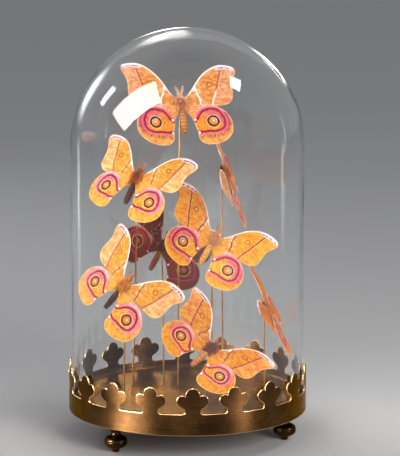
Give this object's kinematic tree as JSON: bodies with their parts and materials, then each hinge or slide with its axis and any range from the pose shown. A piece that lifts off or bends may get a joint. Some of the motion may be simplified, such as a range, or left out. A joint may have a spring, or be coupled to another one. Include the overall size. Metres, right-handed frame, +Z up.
{
  "type": "insect display in a glass dome",
  "caption": "Glass display dome on a pierced brass gallery base with ball feet, holding giant silk moths mounted on thin upright rods.",
  "frame": {"origin": "on the ground under the middle of the round base", "axes": "+Z up along the dome's axis, -Y towards the side the moths are shown from, +X to that side's right"},
  "size_m": [0.25, 0.25, 0.43],
  "materials": {
    "brass": "brushed, antiqued",
    "dark_brass": "turned, darkened",
    "rod_brass": "drawn",
    "dome_glass": "clear, polished",
    "golden_moth": "dry scaled wings and fur, golden orange",
    "tawny_moth": "dry scaled wings and fur, tawny brown",
    "dark_moth": "dry scaled wings and fur, dark brown orange"
  },
  "bodies": {
    "root": {"base_tray": "brass", "gallery_rim": "brass", "foot_left": "dark_brass", "foot_right": "dark_brass", "foot_back": "dark_brass", "glass_dome": "dome_glass", "moth_top": "tawny_moth", "rod_top": "rod_brass", "moth_upper_left": "golden_moth", "rod_upper_left": "rod_brass", "moth_upper_right": "tawny_moth", "rod_upper_right": "rod_brass", "moth_centre": "golden_moth", "rod_centre": "rod_brass", "moth_lower_left": "golden_moth", "rod_lower_left": "rod_brass", "moth_back": "dark_moth", "rod_back": "rod_brass", "moth_bottom": "golden_moth", "rod_bottom": "rod_brass", "moth_lower_right": "golden_moth", "rod_lower_right": "rod_brass"}
  },
  "joints": []
}
